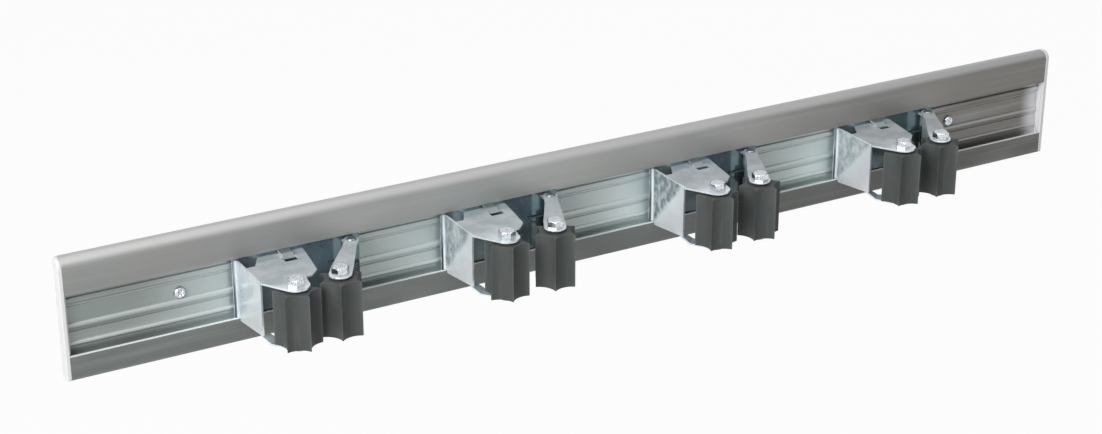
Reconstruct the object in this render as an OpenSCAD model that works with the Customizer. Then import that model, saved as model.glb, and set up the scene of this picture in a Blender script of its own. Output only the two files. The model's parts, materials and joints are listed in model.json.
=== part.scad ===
// Wall tool holder: an extruded rail with four sprung roller clips for long handles
// Frame: X along the rail, Y into the wall, Z up; origin on the wall plane at the rail centre

/* [Rail] */
// Length over both end caps
rail_len = 1000; // [700:10:1400]
// Height of the rail profile
rail_h = 105; // [95:1:120]
// Depth of the rail from the wall to its front face
rail_d = 12; // [12:0.5:16]
// Thickness of the floor against the wall
floor_t = 3.5; // [3:0.25:5]
// Thickness of the front bands and their lips
lip_t = 2; // [1.5:0.25:3]
// Lower edge of the upper band, above the rail centre
upper_lip_z = 22; // [18:0.5:26]
// Upper edge of the lower band, above the rail centre
lower_lip_z = -30.5; // [-36:0.5:-26]
// Radius of the upper front edge
top_edge_r = 7; // [4:0.5:9]
// Radius of the lower front edge
bottom_edge_r = 3; // [2:0.5:5]
// Height of the ridges that stiffen the floor
ridge_h = 1.5; // [1:0.25:2]

/* [End caps] */
// Thickness of the cap plate outside the extrusion
cap_t = 3.5; // [2:0.5:6]
// Depth that the cap plugs reach into the hollow bands
plug_len = 14; // [8:1:25]

/* [Wall screws] */
// Screw places along the rail, as shares of its length
screw_share = [-0.4, 0.385];
// Diameter of the pan head
screw_head_d = 10; // [8:0.5:12]
// Height of the pan head
screw_head_h = 3.5; // [2.5:0.25:4]
// Diameter of the shank
screw_d = 4.5; // [4:0.25:6]
// Length of the shank behind the wall plane
screw_free = 30; // [20:1:50]

/* [Clips] */
// Places of the four clips, at the outer wall of each bracket, as shares of the rail length
clip_share = [-0.3512, -0.1617, 0.0474, 0.2507];
// Swing of each arm from straight ahead towards its fixed roller, in degrees
arm_angle = [32.5, 26.4, 27.6, 28.9];
// Turn of each fixed roller about its axle, in degrees
fixed_turn = [21.7, 42.5, 15.8, 11.1];
// Turn of each swinging roller about its axle, in degrees
swing_turn = [53.5, 58.3, 14.3, 9.1];
// Thickness of the bracket and arm sheet
sheet = 1.5; // [1:0.25:2]
// Height of the top of the upper ears above the rail centre
ear_top = 19.8; // [18.5:0.1:20.8]
// Reach of the bracket wall in front of the rail
wall_reach = 47.5; // [40:0.5:55]
// Inner radius of the wall's sweep into the back plate
wall_bend_r = 3.5; // [2:0.5:8]
// Length of the back plate past the hinge axis
plate_over = 10; // [8:0.5:16]

/* [Rollers] */
// Radius over the six tips of a roller
roller_r = 19.3; // [16:0.1:20]
// Height of a roller
roller_h = 48.3; // [40:0.1:50]
// Depth of the hollow in each roller face
hollow = 3.5; // [1:0.25:5]
// Fixed axle, to the right of the wall
fixed_x = 22; // [21:0.5:24]
// Fixed axle, in front of the rail
fixed_y = 65; // [60:0.5:70]
// Diameter of the axle bolts
axle_d = 8; // [6:0.5:10]
// Width across the flats of the bolt heads
bolt_af = 13; // [10:0.5:14]

/* [Swing arm] */
// Hinge axis, to the right of the wall
hinge_x = 98; // [96:0.5:105]
// Hinge axis, in front of the rail
hinge_y = 5; // [5:0.5:8]
// Distance from the hinge axis to the swinging axle
arm_len = 67.7; // [60:0.1:75]
// Diameter of the hinge pin
hinge_d = 5; // [4:0.5:6]
// Diameter of the spring wire
wire_d = 1.6; // [1:0.1:1.8]
// Mean radius of the spring coil
coil_r = 5; // [4.5:0.1:5.5]
// Rise of the spring in one turn
coil_pitch = 2.15; // [2.1:0.05:3]
// Full turns of the spring
coil_turns = 6; // [4:1:8]

/* [Hidden] */
// Clearance of a turning pin or bore, on the radius
run_fit = 0.05;
// Clearance between faces that slide past each other
gap = 0.3;
eps = 0.05;
$fn = 48;

clip_x = clip_share * rail_len;
screw_x = screw_share * rail_len;
rail_top = rail_h / 2;
rail_cut_len = rail_len - 2 * cap_t;
lip_back = rail_d - lip_t;
plate_front = lip_back - gap;
plate_len = hinge_x + plate_over;
plate_back = plate_front - sheet;
plate_top = 30;
plate_low = -36;
chamber_wall = 2;
upper_chamber = plate_top + 0.4 + chamber_wall;
lower_chamber = plate_low - 0.4 - chamber_wall;
guide_face = plate_back - gap;

flange_top = ear_top - sheet;
flange_low = flange_top - sheet;
roller_space = 0.5;
ear_low = flange_low - roller_space - roller_h - gap;
roller_low = ear_low + gap;
roller_top = roller_low + roller_h;
ear_r = 11;
ear_start = 16;
flange_left = 17;
flange_right = 56.5;
slot_x = 34;
slot_front = 17;
ear_neck = 35;
ear_shoulder = 22;
low_ear_r = 9;
wall_foot = min(ear_low - 0.7, lower_lip_z - 2.5);
wall_foot_front = ear_low + 5;
strap_half = 30;
strap_far = 45;
step_start = 31;
step_end = 21.5;
arm_ear_r = 9.4;
arm_root_r = 6.5;
low_root_r = 4.4;
lug_r = 6;
arm_half = 6;
arm_waist = 24;
arm_neck = 14;
tongue_top = upper_lip_z - 1.1;
ridge_low = [lower_lip_z + 4.8, lower_lip_z + 19.6, upper_lip_z - 11];
ridge_high = [lower_lip_z + 8.9, lower_lip_z + 25.1, upper_lip_z - 5.4];
roll_r = 1.4;
full_turn = 360;
through = 2 * roller_h;
lug_top = flange_top - gap;
lug_low = max(ear_low + 3.9, lower_lip_z + 2.1);
spacer_top = lug_low - sheet;
spacer_low = ear_low + gap;
axle_r = axle_d / 2;
hinge_r = hinge_d / 2;
bolt_head_h = 6.4;
retainer_h = 1.9;
retainer_r = 6.2;
axle_end = ear_low - sheet - 2.6;

aluminium = [0.72, 0.74, 0.73];
zinc = [0.75, 0.79, 0.84];
bright = [0.85, 0.86, 0.88];
rubber = [0.27, 0.28, 0.28];
white = [0.93, 0.93, 0.91];
spring_steel = [0.45, 0.46, 0.48];

// Places
// Frame of a clip: origin on the rail's front face at the outer wall of its bracket
module in_clip(i) {
    translate([clip_x[i], -rail_d, 0]) children();
}

// Frame of a swing arm: origin on the hinge axis, the arm pointing along -Y
module in_arm(i) {
    in_clip(i)
        translate([hinge_x, -hinge_y, 0])
            rotate([0, 0, -arm_angle[i]]) children();
}

// Flat piece of sheet between two heights
module slab(low, high) {
    translate([0, 0, low])
        linear_extrude(high - low) children();
}

// Extrusion along X of an outline drawn in Y and Z
module along_x(start, length) {
    translate([start, 0, 0])
        rotate([90, 0, 90])
            linear_extrude(length) children();
}

// Rail
// Outline of the whole section, with its two rounded front edges
module rail_outline() {
    difference() {
        translate([-rail_d, -rail_top]) square([rail_d, rail_h]);
        translate([-rail_d - 1, rail_top - top_edge_r]) square([top_edge_r + 1, top_edge_r + 1]);
        translate([-rail_d - 1, -rail_top - 1]) square([bottom_edge_r + 1, bottom_edge_r + 1]);
    }
    intersection() {
        translate([-rail_d + top_edge_r, rail_top - top_edge_r]) circle(r = top_edge_r, $fn = 64);
        translate([-rail_d, 0]) square([top_edge_r + eps, rail_top]);
    }
    translate([-rail_d + bottom_edge_r, -rail_top + bottom_edge_r]) circle(r = bottom_edge_r);
}

// Space inside a front band, from the floor to the band
module band_space(low, high) {
    translate([-lip_back, low]) square([lip_back - floor_t, high - low]);
}

// Hollow of the upper band, which follows the rounded edge
module upper_chamber_space() {
    inner_r = top_edge_r - lip_t;
    difference() {
        band_space(upper_chamber, rail_top - lip_t);
        translate([-lip_back - 1, rail_top - top_edge_r]) square([inner_r + 1, top_edge_r]);
    }
    intersection() {
        translate([-lip_back + inner_r, rail_top - top_edge_r]) circle(r = inner_r);
        band_space(upper_chamber, rail_top - lip_t);
    }
}

// Ridge on the floor between two heights, with a rounded crown
module floor_ridge(low, high) {
    crown = min(ridge_h, (high - low) / 2);
    translate([-floor_t - ridge_h + crown, low]) square([ridge_h, high - low]);
    translate([-floor_t - ridge_h + crown, low + crown])
        intersection() {
            circle(r = crown);
            translate([-crown, -crown]) square([crown, crown + eps]);
        }
    translate([-floor_t - ridge_h + crown, high - crown])
        intersection() {
            circle(r = crown);
            translate([-crown, -eps]) square([crown, crown + eps]);
        }
    translate([-floor_t - ridge_h, low + crown]) square([ridge_h, high - low - 2 * crown]);
}

module rail_section() {
    difference() {
        rail_outline();
        band_space(plate_low - 0.4, plate_top + 0.4);
        translate([-rail_d - 1, lower_lip_z]) square([lip_t + 2, upper_lip_z - lower_lip_z]);
        upper_chamber_space();
        band_space(-rail_top + lip_t, lower_chamber);
        translate([-floor_t - eps, 8.6]) square([1, 1]);
        translate([-floor_t - eps, -13.4]) square([1, 1]);
    }
    for (k = [0:2]) floor_ridge(ridge_low[k], ridge_high[k]);
    translate([-guide_face, plate_top - 2]) square([guide_face - floor_t + eps, 2.4 + eps]);
    translate([-guide_face, plate_low - 0.4 - eps]) square([guide_face - floor_t + eps, 2.4 + eps]);
}

module rail() {
    color(aluminium)
        difference() {
            along_x(-rail_cut_len / 2, rail_cut_len) rail_section();
            for (x = screw_x)
                translate([x, 1, 0])
                    rotate([90, 0, 0]) cylinder(d = screw_d + 0.6, h = rail_d);
        }
}

// End caps
// Cap at the right end: plate over the section and plugs in the hollow bands
module cap_body() {
    plate_start = rail_cut_len / 2;
    along_x(plate_start, cap_t) rail_outline();
    along_x(plate_start - plug_len, plug_len + eps) {
        translate([-lip_back + 0.2, upper_chamber + 0.2])
            square([lip_back - floor_t - 0.4, rail_top - top_edge_r - upper_chamber - 0.2]);
        translate([-lip_back + 0.2, -rail_top + lip_t + 0.2])
            square([lip_back - floor_t - 0.4, lower_chamber + rail_top - lip_t - 0.4]);
    }
    along_x(plate_start - 1.5, 1.5 + eps)
        translate([-plate_front, lower_lip_z + 0.5])
            square([plate_front - floor_t - ridge_h - 0.4, upper_lip_z - lower_lip_z - 1]);
}

module cap_right() {
    color(white) cap_body();
}

module cap_left() {
    color(white) mirror([1, 0, 0]) cap_body();
}

// Wall screws
// Pan head with a cross recess, and a shank that runs on into the wall
module wall_screw() {
    crown_r = 9;
    recess = 1.1;
    neck_gap = 0.5;
    difference() {
        union() {
            intersection() {
                cylinder(d = screw_head_d, h = screw_head_h);
                translate([0, 0, screw_head_h - crown_r]) sphere(r = crown_r, $fn = 64);
            }
            translate([0, 0, -floor_t - screw_free]) cylinder(d = screw_d, h = screw_free - neck_gap);
            translate([0, 0, -floor_t - screw_free]) cylinder(d = screw_d - 0.4, h = floor_t + screw_free + eps);
        }
        for (turn = [45, 135])
            rotate([0, 0, turn])
                translate([-2.6, -recess / 2, screw_head_h - 1.8]) cube([5.2, recess, 3]);
    }
}

module wall_screws() {
    color(bright)
        for (x = screw_x)
            translate([x, -floor_t, 0])
                rotate([90, 0, 0]) wall_screw();
}

// Bracket
// Wall of the bracket seen from the side: distance from the rail, height
module wall_profile() {
    inside_lip = lower_lip_z + 0.5;
    polygon([[wall_bend_r + plate_front - rail_d - eps, inside_lip],
             [2 * gap, inside_lip],
             [2 * gap, wall_foot],
             [3, wall_foot],
             [wall_reach, wall_foot_front],
             [wall_reach, ear_top - 1],
             [wall_reach - 1, ear_top],
             [wall_bend_r + plate_front - rail_d - eps, ear_top]]);
}

// Sweep of the wall to the left, through the slot of the rail, into the back plate
module wall_sweep() {
    centre_y = rail_d - plate_front - wall_bend_r;
    translate([-sheet - wall_bend_r, centre_y])
        intersection() {
            difference() {
                circle(r = wall_bend_r + sheet, $fn = 96);
                circle(r = wall_bend_r, $fn = 96);
            }
            square(wall_bend_r + sheet + 1);
        }
}

// Upper ear over the fixed roller, joined to the top of the wall
module upper_ear() {
    polygon([[-sheet, -ear_start], [-sheet, -wall_reach],
             [fixed_x - ear_r * cos(38), -fixed_y - ear_r * sin(38)],
             [fixed_x, -fixed_y],
             [fixed_x + ear_r, -fixed_y],
             [fixed_x + 14, -fixed_y + 15], [fixed_x + 11, -fixed_y + 18.5],
             [fixed_x + 7, -fixed_y + ear_shoulder], [fixed_x - 1, -fixed_y + ear_neck],
             [fixed_x - 7, -ear_start - 5], [fixed_x - 15, -ear_start]]);
    translate([fixed_x, -fixed_y]) circle(r = ear_r, $fn = 64);
}

// Rounded bend between the wall and its upper ear
module rolled_edge() {
    start = wall_bend_r + plate_front - rail_d;
    translate([-sheet + roll_r, -start, ear_top - roll_r])
        rotate([90, 0, 0])
            intersection() {
                cylinder(r = roll_r, h = wall_reach - start);
                translate([-roll_r, 0, 0]) cube([roll_r, roll_r, wall_reach]);
            }
}

// Corner cut away where the rounded bend goes
module bend_corner() {
    translate([-sheet - 1, -wall_reach - 1, ear_top - roll_r]) cube([roll_r + 1, wall_reach + 1, roll_r + 1]);
}

// Top flange that leaves the rail above the back plate's slot
module top_flange() {
    difference() {
        polygon([[flange_left, rail_d - plate_front + eps], [flange_right, rail_d - plate_front + eps],
                 [flange_right, -2], [flange_right - 6.5, -wall_reach + 5],
                 [flange_right - 14.5, -wall_reach - 3.5], [fixed_x - 2, -wall_reach - 3.5],
                 [-eps, -wall_reach + 1.5], [-eps, -ear_start - 2], [flange_left - 10, -ear_start - 0.5]]);
        translate([slot_x, -slot_front]) square([12, 7.5]);
        translate([fixed_x, -fixed_y]) circle(r = roller_r - 1, $fn = 64);
    }
}

// Tongue pressed up out of the flange, which hooks behind the upper lip
module lock_tongue() {
    translate([slot_x + 1, 0, 0])
        rotate([90, 0, 90])
            linear_extrude(10)
                polygon([[-9.6, flange_low], [-9.6, flange_low + 0.9],
                         [-5.4, tongue_top - 0.5], [-0.6, tongue_top],
                         [rail_d - plate_front, tongue_top], [rail_d - plate_front, plate_top - 4],
                         [rail_d - plate_back, plate_top - 4], [rail_d - plate_back, tongue_top - sheet],
                         [-0.6, tongue_top - sheet], [-4.8, tongue_top - 2], [-8.2, flange_low]]);
}

// Lower ear: a strap from the foot of the wall that steps down below the fixed roller
module lower_ear() {
    lean = atan2(fixed_y - wall_reach + 4.5, fixed_x);
    foot = ear_low + 6;
    intersection() {
        translate([0, 0, ear_low - 4])
            linear_extrude(12)
                union() {
                    translate([fixed_x, -fixed_y]) circle(r = low_ear_r, $fn = 64);
                    polygon([[-sheet, -wall_reach + 11], [0, -wall_reach + 11],
                             [fixed_x + low_ear_r * sin(lean), -fixed_y + low_ear_r * cos(lean)],
                             [fixed_x - low_ear_r * sin(lean), -fixed_y - low_ear_r * cos(lean)],
                             [-sheet, -wall_reach]]);
                }
        translate([fixed_x, -fixed_y, 0])
            rotate([0, 0, -lean])
                rotate([90, 0, 0])
                    translate([0, 0, -strap_half])
                        linear_extrude(2 * strap_half)
                            polygon([[-strap_far, foot], [-step_start, foot], [-step_end, ear_low],
                                     [low_ear_r + 2, ear_low], [low_ear_r + 2, ear_low - sheet],
                                     [-step_end - 0.7, ear_low - sheet],
                                     [-step_start - 0.7, foot - sheet], [-strap_far, foot - sheet]]);
    }
}

// Lug of the back plate that carries the hinge pin
module hinge_lug() {
    translate([hinge_x, -hinge_y]) circle(r = lug_r);
    translate([hinge_x - lug_r, -hinge_y])
        square([2 * lug_r, hinge_y + rail_d - plate_front + eps]);
}

module bracket() {
    difference() {
        union() {
            translate([-sheet - wall_bend_r, rail_d - plate_front, plate_low])
                cube([plate_len + sheet + wall_bend_r, sheet, plate_top - plate_low]);
            slab(lower_lip_z + 0.5, ear_top) wall_sweep();
            difference() {
                union() {
                    translate([-sheet, 0, 0])
                        mirror([0, 1, 0])
                            rotate([90, 0, 90])
                                linear_extrude(sheet) wall_profile();
                    slab(flange_top - eps, ear_top) upper_ear();
                }
                bend_corner();
            }
            rolled_edge();
            slab(flange_low, flange_top) top_flange();
            lock_tongue();
            lower_ear();
            slab(lug_top - sheet, lug_top) hinge_lug();
            slab(lug_low - sheet, lug_low) hinge_lug();
        }
        translate([fixed_x, -fixed_y, -roller_h]) cylinder(r = axle_r + run_fit, h = through);
        translate([hinge_x, -hinge_y, -roller_h]) cylinder(r = hinge_r + run_fit, h = through);
    }
}

// Bolt that forms a roller axle: hexagon head above the upper ear, plain end below
module axle_bolt() {
    head_r = bolt_af / 2 / cos(30);
    intersection() {
        translate([0, 0, ear_top]) cylinder(r = head_r, h = bolt_head_h, $fn = 6);
        translate([0, 0, ear_top - 1])
            cylinder(r1 = head_r + 8, r2 = bolt_af / 2 - 0.6, h = bolt_head_h + 1, $fn = 64);
    }
    translate([0, 0, axle_end]) cylinder(r = axle_r, h = ear_top - axle_end + eps);
}

// Ring pressed on the lower end of an axle
module retainer() {
    difference() {
        translate([0, 0, ear_low - sheet - 0.2 - retainer_h]) cylinder(r = retainer_r, h = retainer_h);
        translate([0, 0, axle_end - 1]) cylinder(r = axle_r + 0.02, h = 10);
    }
}

// Rubber roller: six sharp ridges with a hollow face between each two
module roller() {
    tip_r = roller_r + 0.4;
    face = tip_r * cos(30);
    hollow_r = (tip_r * tip_r / 4 + hollow * hollow) / (2 * hollow);
    slab(roller_low, roller_top)
        difference() {
            intersection() {
                circle(r = tip_r, $fn = 6);
                circle(r = roller_r, $fn = 96);
            }
            for (k = [0:5])
                rotate(30 + 60 * k)
                    translate([face - hollow + hollow_r, 0]) circle(r = hollow_r, $fn = 96);
            circle(r = axle_r + run_fit);
        }
}

// Swing arm
// Outline of an arm ear: narrow at the hinge, broad and round at the roller
module arm_ear(root_r) {
    circle(r = root_r);
    polygon([[-arm_half, 0], [-arm_half, -arm_neck - 4], [-arm_ear_r, -arm_len + 12],
             [-arm_ear_r, -arm_len], [arm_ear_r, -arm_len], [arm_ear_r - 0.5, -arm_len + 12],
             [arm_half + 1, -arm_waist], [arm_half, -arm_neck], [arm_half, 0]]);
    translate([0, -arm_len]) circle(r = arm_ear_r, $fn = 64);
}

module arm() {
    web_far = arm_len - roller_r - 2.2;
    difference() {
        union() {
            slab(ear_top - sheet, ear_top) arm_ear(arm_root_r);
            slab(ear_low - sheet, ear_low) arm_ear(low_root_r);
            translate([-arm_half, -web_far, ear_low - eps])
                cube([sheet, web_far - arm_root_r - 1.5, ear_top - sheet - ear_low + 2 * eps]);
        }
        translate([0, 0, -roller_h]) cylinder(r = hinge_r + run_fit, h = through);
        translate([0, -arm_len, -roller_h]) cylinder(r = axle_r + run_fit, h = through);
    }
}

// Rivet through the lugs and the arm ears, with a low head at each end
module hinge_pin() {
    head_h = 1;
    head_r = 4.3;
    translate([0, 0, ear_low - sheet - 0.2 - head_h])
        cylinder(r = hinge_r, h = ear_top - ear_low + sheet + 0.4 + 2 * head_h);
    translate([0, 0, ear_top + 0.2]) cylinder(r1 = head_r, r2 = head_r - 0.7, h = head_h);
    translate([0, 0, ear_low - sheet - 0.2 - head_h]) cylinder(r1 = head_r - 0.7, r2 = head_r, h = head_h);
}

// Washer that fills the space between the lower lug and the lower arm ear
module spacer() {
    difference() {
        translate([0, 0, spacer_low]) cylinder(r = low_root_r, h = spacer_top - spacer_low);
        translate([0, 0, spacer_low - 1]) cylinder(r = hinge_r + run_fit, h = spacer_top - spacer_low + 2);
    }
}

// Torsion spring
coil_start_z = -14;
rings_per_turn = 8;
ring_sides = 6;
arm_leg_end = [-arm_half + sheet + wire_d / 2 + 0.1, -30];
plate_leg_end = [-18, hinge_y + rail_d - plate_front - wire_d / 2 - 0.1];

// Angle at which a straight leg to the given point leaves the coil, before and after the coil
function leg_in_angle(p) = atan2(p[1], p[0]) + acos(coil_r / norm(p));
function leg_out_angle(p) = atan2(p[1], p[0]) - acos(coil_r / norm(p));
function turned(p, a) = [p[0] * cos(a) - p[1] * sin(a), p[0] * sin(a) + p[1] * cos(a)];

// Angles where the coil of clip i begins and ends
function coil_from(i) = leg_in_angle(arm_leg_end) - arm_angle[i];
function coil_to(i) = leg_out_angle(plate_leg_end) + full_turn * coil_turns;
function coil_steps(i) = ceil((coil_to(i) - coil_from(i)) * rings_per_turn / full_turn);

// Centre line of the spring of clip i: leg on the arm, coil, leg on the back plate
function coil_point(a, rise) = [coil_r * cos(a), coil_r * sin(a), coil_start_z + rise];
function coil_line(i) =
    [for (k = [0:coil_steps(i)])
        let (share = k / coil_steps(i), a = coil_from(i) + share * (coil_to(i) - coil_from(i)))
            coil_point(a, (a - coil_from(i)) / full_turn * coil_pitch)];
function spring_line(i) =
    let (coil = coil_line(i), far = turned(arm_leg_end, -arm_angle[i]), top = coil[len(coil) - 1][2])
        concat([[far[0], far[1], coil_start_z]], coil, [[plate_leg_end[0], plate_leg_end[1], top]]);

// Level direction square to the line at point k
function level_normal(line, k) =
    let (last = len(line) - 1, step = line[min(k + 1, last)] - line[max(k - 1, 0)])
        [step[1], -step[0], 0] / norm([step[0], step[1]]);

// Least free space between turns of the line, measured on its points
function line_gap(line) =
    min([for (a = [1:len(line) - 2], b = [1:len(line) - 2])
            if (b - a > rings_per_turn / 2) norm(line[a] - line[b])]) - wire_d;

// Closed tube along a line
module tube(line) {
    rings = len(line);
    points = [for (k = [0:rings - 1], s = [0:ring_sides - 1])
                  let (a = s * full_turn / ring_sides)
                      line[k] + wire_d / 2 * (cos(a) * level_normal(line, k) + [0, 0, sin(a)])];
    skin = [for (k = [0:rings - 2], s = [0:ring_sides - 1], half = [0:1])
                let (t = (s + 1) % ring_sides, base = k * ring_sides)
                    half == 0
                        ? [base + s, base + ring_sides + s, base + ring_sides + t]
                        : [base + s, base + ring_sides + t, base + t]];
    ends = [[for (s = [0:ring_sides - 1]) s],
            [for (s = [0:ring_sides - 1]) rings * ring_sides - 1 - s]];
    polyhedron(points, concat(skin, ends));
}

module spring(i) {
    line = spring_line(i);
    echo("least gap between turns of the spring", line_gap(line));
    in_clip(i)
        translate([hinge_x, -hinge_y, 0]) tube(line);
}

// Places of the pieces of a clip
module at_fixed(i) {
    in_clip(i)
        translate([fixed_x, -fixed_y, 0]) children();
}

module at_swing(i) {
    in_arm(i)
        translate([0, -arm_len, 0]) children();
}

module at_hinge(i) {
    in_clip(i)
        translate([hinge_x, -hinge_y, 0]) children();
}

module swing_roller(i) {
    color(rubber) at_swing(i) rotate([0, 0, arm_angle[i] - swing_turn[i]]) roller();
}

module fixed_roller(i) {
    color(rubber) at_fixed(i) rotate([0, 0, -fixed_turn[i]]) roller();
}

// Clip 1
module clip_1_bracket() {
    color(zinc) in_clip(0) bracket();
}

module clip_1_fixed_axle() {
    color(bright) at_fixed(0) rotate([0, 0, 10]) axle_bolt();
}

module clip_1_fixed_retainer() {
    color(bright) at_fixed(0) retainer();
}

module clip_1_fixed_roller() {
    fixed_roller(0);
}

module clip_1_arm() {
    color(zinc) in_arm(0) arm();
}

module clip_1_swing_axle() {
    color(bright) at_swing(0) rotate([0, 0, 23]) axle_bolt();
}

module clip_1_swing_retainer() {
    color(bright) at_swing(0) retainer();
}

module clip_1_swing_roller() {
    swing_roller(0);
}

module clip_1_hinge_pin() {
    color(bright) at_hinge(0) hinge_pin();
}

module clip_1_spacer() {
    color(bright) at_hinge(0) spacer();
}

module clip_1_spring() {
    color(spring_steel) spring(0);
}

// Clip 2
module clip_2_bracket() {
    color(zinc) in_clip(1) bracket();
}

module clip_2_fixed_axle() {
    color(bright) at_fixed(1) rotate([0, 0, 27]) axle_bolt();
}

module clip_2_fixed_retainer() {
    color(bright) at_fixed(1) retainer();
}

module clip_2_fixed_roller() {
    fixed_roller(1);
}

module clip_2_arm() {
    color(zinc) in_arm(1) arm();
}

module clip_2_swing_axle() {
    color(bright) at_swing(1) rotate([0, 0, 34]) axle_bolt();
}

module clip_2_swing_retainer() {
    color(bright) at_swing(1) retainer();
}

module clip_2_swing_roller() {
    swing_roller(1);
}

module clip_2_hinge_pin() {
    color(bright) at_hinge(1) hinge_pin();
}

module clip_2_spacer() {
    color(bright) at_hinge(1) spacer();
}

module clip_2_spring() {
    color(spring_steel) spring(1);
}

// Clip 3
module clip_3_bracket() {
    color(zinc) in_clip(2) bracket();
}

module clip_3_fixed_axle() {
    color(bright) at_fixed(2) rotate([0, 0, 44]) axle_bolt();
}

module clip_3_fixed_retainer() {
    color(bright) at_fixed(2) retainer();
}

module clip_3_fixed_roller() {
    fixed_roller(2);
}

module clip_3_arm() {
    color(zinc) in_arm(2) arm();
}

module clip_3_swing_axle() {
    color(bright) at_swing(2) rotate([0, 0, 45]) axle_bolt();
}

module clip_3_swing_retainer() {
    color(bright) at_swing(2) retainer();
}

module clip_3_swing_roller() {
    swing_roller(2);
}

module clip_3_hinge_pin() {
    color(bright) at_hinge(2) hinge_pin();
}

module clip_3_spacer() {
    color(bright) at_hinge(2) spacer();
}

module clip_3_spring() {
    color(spring_steel) spring(2);
}

// Clip 4
module clip_4_bracket() {
    color(zinc) in_clip(3) bracket();
}

module clip_4_fixed_axle() {
    color(bright) at_fixed(3) rotate([0, 0, 61]) axle_bolt();
}

module clip_4_fixed_retainer() {
    color(bright) at_fixed(3) retainer();
}

module clip_4_fixed_roller() {
    fixed_roller(3);
}

module clip_4_arm() {
    color(zinc) in_arm(3) arm();
}

module clip_4_swing_axle() {
    color(bright) at_swing(3) rotate([0, 0, 56]) axle_bolt();
}

module clip_4_swing_retainer() {
    color(bright) at_swing(3) retainer();
}

module clip_4_swing_roller() {
    swing_roller(3);
}

module clip_4_hinge_pin() {
    color(bright) at_hinge(3) hinge_pin();
}

module clip_4_spacer() {
    color(bright) at_hinge(3) spacer();
}

module clip_4_spring() {
    color(spring_steel) spring(3);
}

rail();
cap_left();
cap_right();
wall_screws();
clip_1_bracket();
clip_1_fixed_axle();
clip_1_fixed_retainer();
clip_1_fixed_roller();
clip_1_arm();
clip_1_swing_axle();
clip_1_swing_retainer();
clip_1_swing_roller();
clip_1_hinge_pin();
clip_1_spacer();
clip_1_spring();
clip_2_bracket();
clip_2_fixed_axle();
clip_2_fixed_retainer();
clip_2_fixed_roller();
clip_2_arm();
clip_2_swing_axle();
clip_2_swing_retainer();
clip_2_swing_roller();
clip_2_hinge_pin();
clip_2_spacer();
clip_2_spring();
clip_3_bracket();
clip_3_fixed_axle();
clip_3_fixed_retainer();
clip_3_fixed_roller();
clip_3_arm();
clip_3_swing_axle();
clip_3_swing_retainer();
clip_3_swing_roller();
clip_3_hinge_pin();
clip_3_spacer();
clip_3_spring();
clip_4_bracket();
clip_4_fixed_axle();
clip_4_fixed_retainer();
clip_4_fixed_roller();
clip_4_arm();
clip_4_swing_axle();
clip_4_swing_retainer();
clip_4_swing_roller();
clip_4_hinge_pin();
clip_4_spacer();
clip_4_spring();
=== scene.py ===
"""Wall tool holder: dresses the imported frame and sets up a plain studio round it."""
import json
import logging
import math
from dataclasses import dataclass, field
from enum import Enum

import bmesh
import bpy
from mathutils import Matrix, Vector


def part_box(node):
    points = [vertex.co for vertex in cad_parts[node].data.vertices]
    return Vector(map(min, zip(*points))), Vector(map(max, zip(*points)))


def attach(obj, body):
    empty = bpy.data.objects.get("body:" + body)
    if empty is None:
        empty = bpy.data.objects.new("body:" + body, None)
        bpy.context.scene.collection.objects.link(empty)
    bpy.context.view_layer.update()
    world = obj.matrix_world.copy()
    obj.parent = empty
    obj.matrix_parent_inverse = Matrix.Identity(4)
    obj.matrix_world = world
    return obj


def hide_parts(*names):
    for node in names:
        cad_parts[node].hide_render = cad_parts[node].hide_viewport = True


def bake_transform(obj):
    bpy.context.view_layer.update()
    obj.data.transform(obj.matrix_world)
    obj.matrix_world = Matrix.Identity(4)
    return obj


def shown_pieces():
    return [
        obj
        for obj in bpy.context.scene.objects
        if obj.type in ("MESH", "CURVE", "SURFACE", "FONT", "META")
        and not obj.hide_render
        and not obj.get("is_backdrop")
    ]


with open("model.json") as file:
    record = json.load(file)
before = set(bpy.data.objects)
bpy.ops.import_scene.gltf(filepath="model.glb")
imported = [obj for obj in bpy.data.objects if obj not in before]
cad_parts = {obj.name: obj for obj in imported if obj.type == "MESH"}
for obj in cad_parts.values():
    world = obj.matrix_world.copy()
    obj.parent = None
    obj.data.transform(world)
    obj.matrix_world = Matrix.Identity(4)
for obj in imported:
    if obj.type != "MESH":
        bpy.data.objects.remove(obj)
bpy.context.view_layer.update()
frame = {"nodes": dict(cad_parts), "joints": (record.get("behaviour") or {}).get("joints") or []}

CLIPS = (1, 2, 3, 4)
MM = 0.001
WELD = 0.002 * MM  # points of a CAD mesh nearer than this are one point
SLACK = 0.001 * MM  # points nearer than this to a level or a radius are on it
CUT_SLACK = 0.0001 * MM  # the same where a plane cuts a mesh
WHITE = (1.0, 1.0, 1.0, 1.0)

Colour = tuple[float, float, float, float]
Span = tuple[float, float]
Triple = tuple[float, float, float]

log = logging.getLogger("tool_holder")


class Slot(Enum):
    """Material slots of the record."""

    ALUMINIUM = "anodised_aluminium"
    CAP = "cap_plastic"
    SHEET = "zinc_sheet"
    BRIGHT = "bright_zinc"
    RUBBER = "grip_rubber"
    SPRING = "spring_steel"


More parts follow.
